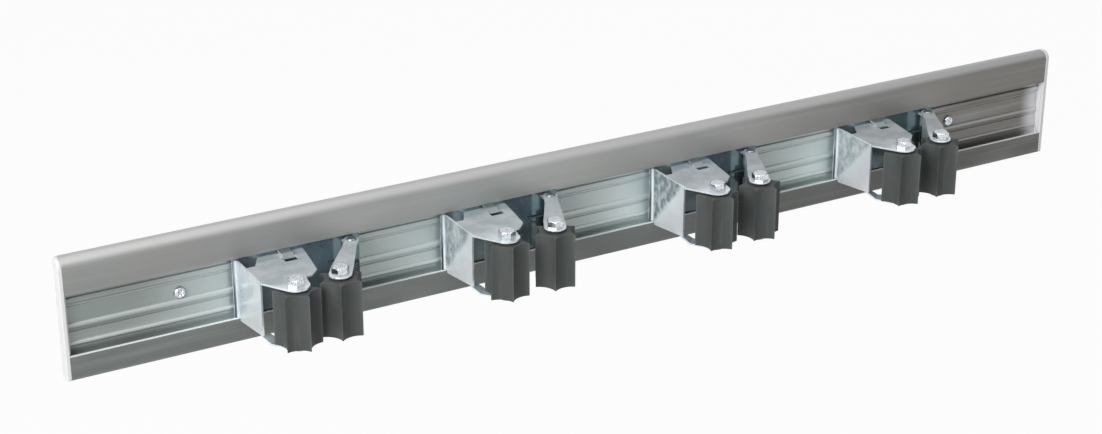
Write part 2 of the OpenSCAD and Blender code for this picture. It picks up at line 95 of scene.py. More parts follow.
class Socket:
    """A shader socket that takes part in sums, so that formulas read as formulas."""

    def __init__(self, maker: "NodeMaker", socket: bpy.types.NodeSocket) -> None:
        """Keeps the socket and the maker of its nodes."""
        self.maker = maker
        self.socket = socket

    def _math(self, kind: str, *values: "Socket | float", clamp: bool = False) -> "Socket":
        """Adds one Math node and returns its result."""
        settings = {"operation": kind, "use_clamp": clamp}
        return self.maker.node("ShaderNodeMath", settings, dict(enumerate(values)))

    def __add__(self, other: "Socket | float") -> "Socket":
        """Returns this value plus another."""
        return self._math("ADD", self, other)

    def __radd__(self, other: float) -> "Socket":
        """Returns a number plus this value."""
        return self._math("ADD", other, self)

    def __sub__(self, other: "Socket | float") -> "Socket":
        """Returns this value minus another."""
        return self._math("SUBTRACT", self, other)

    def __rsub__(self, other: float) -> "Socket":
        """Returns a number minus this value."""
        return self._math("SUBTRACT", other, self)

    def __mul__(self, other: "Socket | float") -> "Socket":
        """Returns this value times another."""
        return self._math("MULTIPLY", self, other)

    def __rmul__(self, other: float) -> "Socket":
        """Returns a number times this value."""
        return self._math("MULTIPLY", other, self)

    def clamped(self) -> "Socket":
        """Returns the value held between 0 and 1."""
        return self._math("ADD", self, 0.0, clamp=True)

    def size(self) -> "Socket":
        """Returns the value without its sign."""
        return self._math("ABSOLUTE", self)

    def power(self, exponent: float) -> "Socket":
        """Returns the value raised to an exponent."""
        return self._math("POWER", self, exponent)

    def band(self, start: float, end: float) -> "Socket":
        """Turns the value into a smooth fade.

        Args:
            start: value where the fade begins, at 0.
            end: value where it ends, at 1, and which may be the lower of the two.

        Returns:
            The fade, held between 0 and 1.
        """
        settings = {"interpolation_type": "SMOOTHSTEP"}
        inputs = {"Value": self, "From Min": start, "From Max": end}
        return self.maker.node("ShaderNodeMapRange", settings, inputs, "Result")


class NodeMaker:
    """Makes the nodes of one material or world."""

    def __init__(self, tree: bpy.types.NodeTree) -> None:
        """Empties the tree that the nodes go into."""
        self.tree = tree
        self.tree.nodes.clear()

    def _add(self, kind: str, settings: dict, inputs: dict) -> bpy.types.Node:
        """Adds one node and fills its inputs.

        Args:
            kind: type of the node.
            settings: properties to set on it, which are set first.
            inputs: values or sockets by input name or number.

        Returns:
            The node.
        """
        made = self.tree.nodes.new(kind)
        for key, value in settings.items():
            setattr(made, key, value)
        for key, value in inputs.items():
            if isinstance(value, Socket):
                self.tree.links.new(value.socket, made.inputs[key])
            else:
                made.inputs[key].default_value = value
        return made

    def node(self, kind: str, settings: dict, inputs: dict, output: str | int = 0) -> Socket:
        """Returns one output, by name or number, of a new node."""
        return Socket(self, self._add(kind, settings, inputs).outputs[output])

    def surface(self, shader: Socket) -> None:
        """Joins a shader to the output of the tree.

        Args:
            shader: the shader of the material or of the world.
        """
        kind = "ShaderNodeOutputMaterial"
        if isinstance(self.tree.id_data, bpy.types.World):
            kind = "ShaderNodeOutputWorld"
        self._add(kind, {}, {"Surface": shader})

    def solid(self, inputs: dict) -> Socket:
        """Returns the shader of a solid surface."""
        return self.node("ShaderNodeBsdfPrincipled", {}, inputs, "BSDF")

    def place(self, stretch: Triple = (1.0, 1.0, 1.0)) -> Socket:
        """Returns the object coordinates, in metres, times a stretch."""
        coords = self.node("ShaderNodeTexCoord", {}, {}, "Object")
        return self.node("ShaderNodeVectorMath", {"operation": "MULTIPLY"}, {0: coords, 1: stretch})

    def axis(self, name: str) -> Socket:
        """Returns one object coordinate, in metres."""
        return self.node("ShaderNodeSeparateXYZ", {}, {0: self.place()}, name)

    def axes(self) -> tuple[Socket, Socket, Socket]:
        """Returns the three object coordinates, in metres."""
        return self.axis("X"), self.axis("Y"), self.axis("Z")

    def facing(self, name: str) -> Socket:
        """Returns one part of the surface's direction, between -1 and 1."""
        coords = self.node("ShaderNodeTexCoord", {}, {}, "Normal")
        return self.node("ShaderNodeSeparateXYZ", {}, {0: coords}, name)

    def noise(self, waves: Triple, detail: float = 3.0) -> Socket:
        """Returns noise between about 0 and 1, with its waves per metre along X, Y and Z."""
        inputs = {"Vector": self.place(waves), "Scale": 1.0, "Detail": detail}
        return self.node("ShaderNodeTexNoise", {}, inputs, "Fac")

    def mix(self, share: Socket | float, first: Socket | Colour, second: Socket | Colour) -> Socket:
        """Returns a blend of two colours."""
        return self.node("ShaderNodeMix", {"data_type": "RGBA"}, {0: share, 6: first, 7: second}, 2)

    def bump(self, height: Socket, depth: float) -> Socket:
        """Returns a normal bent by a relief of a height between 0 and 1 and a depth in metres."""
        inputs = {"Height": height, "Distance": depth, "Strength": 1.0}
        return self.node("ShaderNodeBump", {}, inputs, "Normal")


@dataclass(frozen=True)
class Finish:
    """A surface finish of the object."""

    slot: Slot

    def name(self) -> str:
        """Returns the name of the finish's material."""
        return self.slot.value

    def shade(self, make: NodeMaker) -> Socket:
        """Returns the shader of the finish."""
        raise NotImplementedError

    def material(self) -> bpy.types.Material:
        """Makes the material of the finish, or finds it if it is made.

        Returns:
            The material.
        """
        found = bpy.data.materials.get(self.name())
        if found and found.get("dressed"):
            return found
        made = bpy.data.materials.new(self.name())
        made["dressed"] = True
        made.use_nodes = True
        make = NodeMaker(made.node_tree)
        make.surface(self.shade(make))
        return made


def beside_walls(make: NodeMaker, rise: Span, fall: Span) -> Socket:
    """Marks a zone along X that is set against the left wall of each clip.

    Args:
        make: maker of the material's nodes.
        rise: where the zone fades in, in metres from the wall.
        fall: where it fades out again.

    Returns:
        1 in the zone and 0 elsewhere.
    """
    x = make.axis("X")
    aways = [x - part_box(f"clip_{number}_bracket")[0].x for number in CLIPS]
    return sum(away.band(*rise) * (1.0 - away.band(*fall)) for away in aways)


@dataclass(frozen=True)
class Aluminium(Finish):
    """Satin anodised extrusion with die lines along its length, painted shade in the channel and painted
    highlights on its top edge, lower lip and ridges.
    """

    slot: Slot = Slot.ALUMINIUM
    roughness: float = 0.43
    relief: float = 0.02 * MM

    # The two bands, from left to right, with painted shade towards the foot and in the lower band, and
    # painted highlights on the rounded top edge and the lower lip.
    cool: Colour = (0.375, 0.385, 0.375, 1.0)
    rosy: Colour = (0.42, 0.388, 0.384, 1.0)
    warm: Colour = (0.215, 0.203, 0.188, 1.0)
    low_band: Colour = (0.155, 0.168, 0.160, 1.0)
    low_band_warm: Colour = (0.122, 0.119, 0.114, 1.0)
    crown_highlight: Colour = (0.47, 0.47, 0.465, 1.0)
    lip_highlight: Colour = (0.86, 0.88, 0.87, 1.0)

    # The channel floor, darker than the bands as painted shade, with painted highlights on the tops of its
    # ridges and painted reflections of the right cap and the clips.
    channel: Colour = (0.325, 0.370, 0.362, 1.0)
    channel_warm: Colour = (0.185, 0.176, 0.164, 1.0)
    crest: Colour = (0.60, 0.65, 0.63, 1.0)
    cap_glow: Colour = (0.86, 0.86, 0.90, 1.0)
    clip_glow: Colour = (0.80, 0.90, 0.91, 1.0)
    clip_glow_reach: float = 85 * MM
    clip_glow_fade: float = 45 * MM

    # Chalky haze and dark die lines all over.
    chalk: Colour = (0.52, 0.54, 0.53, 1.0)
    die_line: Colour = (0.10, 0.11, 0.11, 1.0)
    line_waves: Triple = (2.0, 1400.0, 1400.0)
    haze_waves: Triple = (9.0, 30.0, 30.0)
    smear_waves: Triple = (3.0, 160.0, 160.0)
    blush_waves: Triple = (7.0, 6.0, 12.0)

    # Where fades begin and end, in metres along the axis of their name.
    face_y: Span = (-9.8 * MM, -8.8 * MM)
    off_wall_y: Span = (-0.6 * MM, -1.2 * MM)
    channel_top_z: Span = (44.0 * MM, 45.5 * MM)
    crown_z: Span = (45.5 * MM, 50.5 * MM)
    darkening_z: Span = (45.0 * MM, 20.0 * MM)
    low_band_z: Span = (-28.0 * MM, -33.0 * MM)
    warm_x: Span = (-0.05, 0.5)
    dark_x: Span = (-0.05, -0.46)
    channel_warm_x: Span = (0.15, 0.42)
    channel_dark_x: Span = (-0.33, -0.44)
    cap_glow_x: Span = (0.474, 0.494)
    clip_glow_x: Span = (-0.2, 0.1)

    # Lines along the rail: middle height and half width in metres, and for a ridge its strength.
    lip: Span = (-30.6 * MM, 0.9 * MM)
    ridges: tuple[Triple, ...] = (
        (9.2 * MM, 1.1 * MM, 0.75), (-7.0 * MM, 2.6 * MM, 0.6), (-22.8 * MM, 2.4 * MM, 0.55),
    )

    @staticmethod
    def _line(level: Socket, height: float, half: float) -> Socket:
        """Returns a soft line along the rail at one height, with half of its width in metres."""
        return 1.0 - (level - height).size().band(0.0, half)

    def _bands(self, make: NodeMaker, warmth: Socket) -> Socket:
        """Paints the two bands, with painted shade towards the foot and a painted highlight on the rounded
        top edge.

        Args:
            make: maker of the material's nodes.
            warmth: rise from the cool left part to the warm right end.

        Returns:
            The colour of the bands.
        """
        x, z = make.axis("X"), make.axis("Z")
        blush = make.noise(self.blush_waves, 1.0).band(0.42, 0.62)
        band = make.mix(blush * 0.4, self.cool, self.rosy)
        band = make.mix(warmth, band, self.warm)
        # Painted shade: the bands darken towards their foot, and the lower band is darker still.
        band = make.mix(z.band(*self.darkening_z) * 0.22, band, self.low_band)
        low_band = make.mix(warmth, self.low_band, self.low_band_warm)
        band = make.mix(z.band(*self.low_band_z), band, low_band)
        band = make.mix(x.band(*self.dark_x) * 0.42, band, self.low_band)
        # Painted highlight on the rounded top edge.
        return make.mix(z.band(*self.crown_z), band, self.crown_highlight)

    def _floor(self, make: NodeMaker, outward: Socket) -> Socket:
        """Paints the channel floor: painted shade in the recess, with a painted reflection beside each clip's
        wall.

        Args:
            make: maker of the material's nodes.
            outward: 1 on the side of the floor that is seen.

        Returns:
            The colour of the floor, without its ridges.
        """
        x = make.axis("X")
        floor = make.mix(x.band(*self.channel_warm_x), self.channel, self.channel_warm)
        floor = make.mix(x.band(*self.channel_dark_x) * 0.4, floor, self.low_band)
        # Painted reflection of each clip's wall on the floor beside it.
        near = beside_walls(make, (-self.clip_glow_reach, 0.0), (0.0, self.clip_glow_fade))
        share = 0.36 + 0.36 * x.band(*self.clip_glow_x)
        return make.mix(near * share * outward, floor, self.clip_glow)

    def shade(self, make: NodeMaker) -> Socket:
        """Mixes the bands, the channel, the haze and die lines, and the painted highlight on the lower lip.

        Args:
            make: maker of the material's nodes.

        Returns:
            The shader of the finish.
        """
        x, y, z = make.axes()
        lines = make.noise(self.line_waves, 4.0)
        haze = make.noise(self.haze_waves)
        smear = make.noise(self.smear_waves)
        warmth = x.band(*self.warm_x)
        inside = y.band(*self.face_y)
        recess = inside * (1.0 - z.band(*self.channel_top_z))
        outward = recess * y.band(*self.off_wall_y)
        lip = self._line(z, *self.lip) * (1.0 - inside)
        crown = z.band(*self.crown_z)
        ridges = outward * sum(self._line(z, height, half) * share for height, half, share in self.ridges)
        glow = outward * x.band(*self.cap_glow_x)
        floor = self._floor(make, outward)
        # Painted highlights on the tops of the ridges.
        floor = make.mix(ridges * (1.0 - 0.35 * warmth), floor, self.crest)
        # Painted reflection of the right cap near the right end of the channel.
        floor = make.mix(glow * 0.75, floor, self.cap_glow)
        # The channel colour is painted shade in the recess.
        colour = make.mix(recess, self._bands(make, warmth), floor)
        colour = make.mix(haze.band(0.42, 0.8) * 0.22 + smear.band(0.5, 0.8) * 0.18, colour, self.chalk)
        colour = make.mix(lines.band(0.55, 0.8) * 0.12, colour, self.die_line)
        # Painted highlight along the lower lip.
        colour = make.mix(lip, colour, self.lip_highlight)
        metal = 0.4 + 0.22 * recess - 0.3 * lip - 0.3 * ridges - 0.4 * glow - 0.25 * crown
        rough = self.roughness + 0.16 * (lines - 0.5) + 0.12 * (haze - 0.5) - 0.05 * recess + 0.1 * crown
        return make.solid({
            "Base Color": colour,
            "Metallic": metal.clamped(),
            "Roughness": rough.clamped(),
            "Normal": make.bump(lines, self.relief),
        })


@dataclass(frozen=True)
class ZincSheet(Finish):
    """Bright zinc plate on pressed sheet, bluish, with faint clouds, painted shade behind the rail's lips and
    painted light and dark reflections on the side walls.
    """

    slot: Slot = Slot.SHEET
    roughness: float = 0.16
    relief: float = 0.6 * MM

    # Bare plating: clouds, spangle and rub marks.
    light: Colour = (0.82, 0.86, 0.89, 1.0)
    dark: Colour = (0.58, 0.65, 0.70, 1.0)
    scratch: Colour = (0.90, 0.93, 0.95, 1.0)
    cloud_waves: Triple = (55.0, 55.0, 55.0)
    spangle_waves: Triple = (420.0, 420.0, 420.0)
    rub_waves: Triple = (90.0, 900.0, 1500.0)
    grain_waves: Triple = (1500.0, 220.0, 700.0)
    dent_waves: Triple = (32.0, 32.0, 32.0)

    # Side walls, which face left: a mottled painted dark reflection above a slanting border, painted pale
    # light below it.
    shaded: Colour = (0.20, 0.25, 0.265, 1.0)
    pale: Colour = (0.76, 0.79, 0.81, 1.0)
    mottle_waves: Triple = (170.0, 210.0, 150.0)
    facing_left: Span = (-0.8, -0.95)
    border_slope: float = 1.1
    border_y: float = -12.0 * MM
    border_z: float = -33.0 * MM
    border_wander: float = 4.0 * MM
    border_fade: Span = (-7.0 * MM, 2.0 * MM)
    reflection_x: Span = (-0.37, -0.05)
    less_reflection_x: Span = (0.1, 0.26)

    # Back plates: painted shade, nearly black, with a painted pale reflection in the upper corner beside the
    # side wall.
    deep: Colour = (0.085, 0.140, 0.158, 1.0)
    deepest: Colour = (0.020, 0.028, 0.031, 1.0)
    plate_glow: Colour = (0.40, 0.50, 0.53, 1.0)
    facing_out: Span = (-0.8, -0.95)
    plate_y: Span = (-12.1 * MM, -11.2 * MM)
    deepest_z: Span = (-1.0 * MM, -12.0 * MM)
    glow_z: Span = (-4.0 * MM, 4.0 * MM)
    glow_rise: Span = (0.0, MM)
    glow_fall: Span = (18.0 * MM, 26.0 * MM)

    # The lanced tongue under the top flange, painted dark as shade.
    tongue: Colour = (0.17, 0.20, 0.20, 1.0)
    tongue_from_y: Span = (-21.2 * MM, -20.5 * MM)
    tongue_to_y: Span = (-11.2 * MM, -12.5 * MM)
    tongue_from_z: Span = (17.0 * MM, 18.0 * MM)
    tongue_top_z: Span = (20.0 * MM, 20.6 * MM)
    slant_y: Span = (-0.25, -0.4)
    slant_z: Span = (0.25, 0.4)

    def _plating(self, make: NodeMaker, cloud: Socket) -> Socket:
        """Paints the bare plating.

        Args:
            make: maker of the material's nodes.
            cloud: noise of the clouds.

        Returns:
            The colour of the plating.
        """
        inputs = {"Vector": make.place(self.spangle_waves), "Scale": 1.0}
        spangle = make.node("ShaderNodeTexVoronoi", {}, inputs, "Distance")
        rub = make.noise(self.rub_waves, 2.0)
        colour = make.mix(cloud.band(0.32, 0.68), self.dark, self.light)
        colour = make.mix(spangle.band(0.2, 0.9) * 0.2, colour, self.scratch)
        return make.mix(rub.band(0.64, 0.72) * 0.4, colour, self.scratch)

    def _dark_reflection(self, make: NodeMaker) -> Socket:
        """Marks how much painted dark reflection lies on the side walls.

        Args:
            make: maker of the material's nodes.

        Returns:
            The share of painted dark reflection, by clip and with its mottle.
        """
        x = make.axis("X")
        # Painted dark reflection: faint at the left clip, strongest in the middle, weaker at the right.
        reflection_share = 0.15 + 0.75 * x.band(*self.reflection_x) - 0.35 * x.band(*self.less_reflection_x)
        mottle = make.noise(self.mottle_waves, 7.0).band(0.3, 0.7)
        return reflection_share * (0.4 + 0.9 * mottle)

    def _back_plate(self, make: NodeMaker, cloud: Socket) -> Socket:
        """Paints shade onto the back plates, with a painted pale reflection in the corner beside the side
        wall.

        Args:
            make: maker of the material's nodes.
            cloud: noise of the clouds.

        Returns:
            The colour of the back plates.
        """
        z = make.axis("Z")
        # Painted shade, darkest towards the bottom.
        plate = make.mix(z.band(*self.deepest_z) * 0.8, self.deep, self.deepest)
        # Painted pale reflection in the corner beside the side wall.
        corner = beside_walls(make, self.glow_rise, self.glow_fall) * z.band(*self.glow_z)
        return make.mix(corner * (0.35 + 0.5 * cloud), plate, self.plate_glow)

    def _tongue(self, make: NodeMaker) -> Socket:
        """Marks the lanced tongue.

        Args:
            make: maker of the material's nodes.

        Returns:
            1 on the tongue and 0 elsewhere.
        """
        y, z = make.axis("Y"), make.axis("Z")
        begin = y.band(*self.tongue_from_y)
        slant = make.facing("Y").band(*self.slant_y) * make.facing("Z").band(*self.slant_z)
        lance = (slant * begin + z.band(*self.tongue_top_z)).clamped()
        return lance * z.band(*self.tongue_from_z) * begin * y.band(*self.tongue_to_y)

    def shade(self, make: NodeMaker) -> Socket:
        """Mixes the plating with the painted reflections on the side walls and the painted shade on the back
        plates and the tongue.

        Args:
            make: maker of the material's nodes.

        Returns:
            The shader of the finish.
        """
        y, z = make.axis("Y"), make.axis("Z")
        cloud = make.noise(self.cloud_waves, 4.0)
        grain = make.noise(self.grain_waves, 2.0)
        dents = make.noise(self.dent_waves, 1.0)
        side = make.facing("X").band(*self.facing_left)
        wander = self.border_wander * (cloud - 0.5)
        border = (self.border_y - y) * self.border_slope - z + self.border_z + wander
        below = border.band(*self.border_fade)
        # Painted pale light on the side walls below the border.
        lit_foot = side * below
        behind = y.band(*self.plate_y) * make.facing("Y").band(*self.facing_out)
        # Painted dark reflection on the side walls above the border.
        dark = side * (1.0 - below) * self._dark_reflection(make)
        colour = make.mix(dark.clamped(), self._plating(make, cloud), self.shaded)
        colour = make.mix(lit_foot * 0.7, colour, self.pale)
        # Painted shade on the back plates behind the rail's lips.
        colour = make.mix(behind * (0.8 + 0.3 * cloud), colour, self._back_plate(make, cloud))
        # Painted shade on the lanced tongue.
        colour = make.mix(self._tongue(make) * 0.85, colour, self.tongue)
        metal = 0.52 - 0.14 * side - 0.05 * lit_foot + 0.2 * behind + 0.1 * (cloud - 0.5)
        rough = self.roughness + 0.12 * (cloud - 0.5) + 0.08 * (grain - 0.5) + 0.14 * side + 0.05 * lit_foot
        return make.solid({
            "Base Color": colour,
            "Metallic": metal.clamped(),
            "Roughness": rough.clamped(),
            "Normal": make.bump(dents + 0.02 * grain, self.relief),
        })


@dataclass(frozen=True)
class BrightZinc(Finish):
    """Plated bolts and screws, brighter than the sheet."""

    slot: Slot = Slot.BRIGHT
    light: Colour = (0.74, 0.76, 0.79, 1.0)
    dark: Colour = (0.46, 0.50, 0.55, 1.0)
    roughness: float = 0.22
    relief: float = 0.03 * MM
    spot_waves: Triple = (700.0, 700.0, 700.0)

    def shade(self, make: NodeMaker) -> Socket:
        """Mixes the plating and its spots.

        Args:
            make: maker of the material's nodes.

        Returns:
            The shader of the finish.
        """
        spot = make.noise(self.spot_waves)
        return make.solid({
            "Base Color": make.mix(spot.band(0.4, 0.7), self.light, self.dark),
            "Metallic": 1.0,
            "Roughness": (self.roughness + 0.2 * (spot - 0.5)).clamped(),
            "Normal": make.bump(spot, self.relief),
        })


@dataclass(frozen=True)
class DullZinc(BrightZinc):
    """Plated pins, washers and retaining rings that have lost their shine."""

    light: Colour = (0.36, 0.39, 0.42, 1.0)
    dark: Colour = (0.20, 0.23, 0.26, 1.0)
    roughness: float = 0.36

    def name(self) -> str:
        """Returns the name of the finish's material."""
        return self.slot.value + "_dull"


@dataclass(frozen=True)
class Rubber(Finish):
    """Moulded dark grey rubber, paler along its ridges where it is handled."""

    slot: Slot = Slot.RUBBER
    body: Colour = (0.062, 0.069, 0.068, 1.0)
    worn: Colour = (0.115, 0.125, 0.122, 1.0)
    dust: Colour = (0.085, 0.087, 0.081, 1.0)
    roughness: float = 0.6
    relief: float = 0.05 * MM
    shine: float = 0.3
    grain_waves: Triple = (2600.0, 2600.0, 2600.0)
    cloud_waves: Triple = (90.0, 90.0, 45.0)
    streak_waves: Triple = (220.0, 220.0, 18.0)

    def shade(self, make: NodeMaker) -> Socket:
        """Mixes the rubber with its dust, streaks and worn ridges.

        Args:
            make: maker of the material's nodes.

        Returns:
            The shader of the finish.
        """
        grain = make.noise(self.grain_waves, 2.0)
        cloud = make.noise(self.cloud_waves, 4.0)
        streak = make.noise(self.streak_waves)
        ridge = make.node("ShaderNodeAttribute", {"attribute_name": "ridge"}, {}, "Fac")
        wear = ridge.power(3.0) * (0.35 + 0.9 * cloud)
        colour = make.mix(cloud.band(0.4, 0.8) * 0.5, self.body, self.dust)
        colour = make.mix(streak.band(0.58, 0.72) * 0.3, colour, self.worn)
        return make.solid({
            "Base Color": make.mix(wear.clamped(), colour, self.worn),
            "Roughness": (self.roughness + 0.2 * (cloud - 0.5)).clamped(),
            "Specular IOR Level": self.shine,
            "Normal": make.bump(grain, self.relief),
        })


@dataclass(frozen=True)
class CapPlastic(Finish):
    """Off-white moulded plastic with a fine spark-eroded grain."""

    slot: Slot = Slot.CAP
    light: Colour = (0.80, 0.81, 0.80, 1.0)
    dark: Colour = (0.72, 0.73, 0.72, 1.0)
    roughness: float = 0.42
    relief: float = 0.03 * MM
    grain_waves: Triple = (1800.0, 1800.0, 1800.0)
    cloud_waves: Triple = (60.0, 60.0, 60.0)

    def shade(self, make: NodeMaker) -> Socket:
        """Mixes the two tones of the plastic.

        Args:
            make: maker of the material's nodes.

        Returns:
            The shader of the finish.
        """
        grain = make.noise(self.grain_waves, 2.0)
        cloud = make.noise(self.cloud_waves)
        return make.solid({
            "Base Color": make.mix(cloud, self.light, self.dark),
            "Roughness": (self.roughness + 0.15 * (cloud - 0.5)).clamped(),
            "Normal": make.bump(grain, self.relief),
        })


@dataclass(frozen=True)
class SpringSteel(Finish):
    """Oil-darkened wire."""

    slot: Slot = Slot.SPRING
    dark: Colour = (0.07, 0.075, 0.08, 1.0)
    light: Colour = (0.16, 0.165, 0.17, 1.0)
    roughness: float = 0.34
    relief: float = 0.03 * MM
    cloud_waves: Triple = (400.0, 400.0, 400.0)

    def shade(self, make: NodeMaker) -> Socket:
        """Mixes the two tones of the wire.

        Args:
            make: maker of the material's nodes.

        Returns:
            The shader of the finish.
        """
        cloud = make.noise(self.cloud_waves)
        return make.solid({
            "Base Color": make.mix(cloud, self.dark, self.light),
            "Metallic": 1.0,
            "Roughness": (self.roughness + 0.2 * (cloud - 0.5)).clamped(),
            "Normal": make.bump(cloud, self.relief),
        })


DULL = DullZinc()
FINISHES = {
    finish.slot: finish
    for finish in (Aluminium(), ZincSheet(), BrightZinc(), Rubber(), CapPlastic(), SpringSteel())
}


@dataclass(frozen=True)
class SoftEdge:
    """Softened edges of a carried-over CAD node, or none where the width is 0."""

    width: float
    steps: int = 2
    flat_angle: float = math.radians(0.4)
    corner_angle: float = math.radians(32)

    def put_on(self, piece: bpy.types.Object) -> None:
        """Joins the piece's loose triangles into flats and softens the edges between them.

        Args:
            piece: the CAD node.
        """
        if self.width == 0:
            return
        weld = piece.modifiers.new("weld", "WELD")
        weld.merge_threshold = WELD
        flats = piece.modifiers.new("flats", "DECIMATE")
        flats.decimate_type = "DISSOLVE"
        flats.angle_limit = self.flat_angle
        bevel = piece.modifiers.new("edges", "BEVEL")
        bevel.width = self.width
        bevel.segments = self.steps
        bevel.use_clamp_overlap = False
        bevel.limit_method = "ANGLE"
        bevel.angle_limit = self.corner_angle
        bevel.harden_normals = True


def dress_node(name: str, finish: Finish, edge: float) -> None:
    """Gives a carried-over CAD node its finish and softened edges.

    Args:
        name: the node.
        finish: its finish.
        edge: width of the softened edge in metres, 0 for none.
    """
    piece = frame["nodes"][name]
    material = finish.material()
    if not piece.data.materials:
        piece.data.materials.append(material)
    for place in range(len(piece.data.materials)):
        piece.data.materials[place] = material
    SoftEdge(edge).put_on(piece)


def new_piece(
    name: str, mesh: bmesh.types.BMesh, slot: Slot, body: str | None, node: str
) -> bpy.types.Object:
    """Turns a bmesh into a dressed piece that stands for a CAD node.

    Args:
        name: name of the piece.
        mesh: its mesh, which is freed.
        slot: its material slot.
        body: the body that it rides on, or None for a piece that rides on no body.
        node: the CAD node that it replaces.

    Returns:
        The new object.
    """
    bmesh.ops.recalc_face_normals(mesh, faces=mesh.faces)
    data = bpy.data.meshes.new(name)
    mesh.to_mesh(data)
    mesh.free()
    piece = bpy.data.objects.new(name, data)
    bpy.context.scene.collection.objects.link(piece)
    data.materials.append(FINISHES[slot].material())
    if body:
        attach(piece, body)
    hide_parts(node)
    return piece


def extruded(
    mesh: bmesh.types.BMesh, ring: list[bmesh.types.BMEdge]
) -> tuple[list[bmesh.types.BMEdge], list[bmesh.types.BMVert]]:
    """Extrudes a ring of edges and leaves the new ring where the old one is.

    Args:
        mesh: the mesh that holds the ring.
        ring: edges of the ring.

    Returns:
        The edges and the vertices of the new ring.
    """
    grown = bmesh.ops.extrude_edge_only(mesh, edges=ring)["geom"]
    verts = [g for g in grown if isinstance(g, bmesh.types.BMVert)]
    fresh = set(verts)
    edges = [g for g in grown if isinstance(g, bmesh.types.BMEdge) and fresh.issuperset(g.verts)]
    return edges, verts


def cut(mesh: bmesh.types.BMesh, level: float, outward: int) -> None:
    """Cuts a mesh square to Y and clears one side.

    Args:
        mesh: the mesh.
        level: where the cut is, in metres along Y.
        outward: 1 to clear what lies beyond the cut, -1 to clear what lies before it.
    """
    bmesh.ops.bisect_plane(
        mesh, geom=list(mesh.verts) + list(mesh.edges) + list(mesh.faces), dist=CUT_SLACK,
        plane_co=(0, level, 0), plane_no=(0, outward, 0), clear_outer=True,
    )


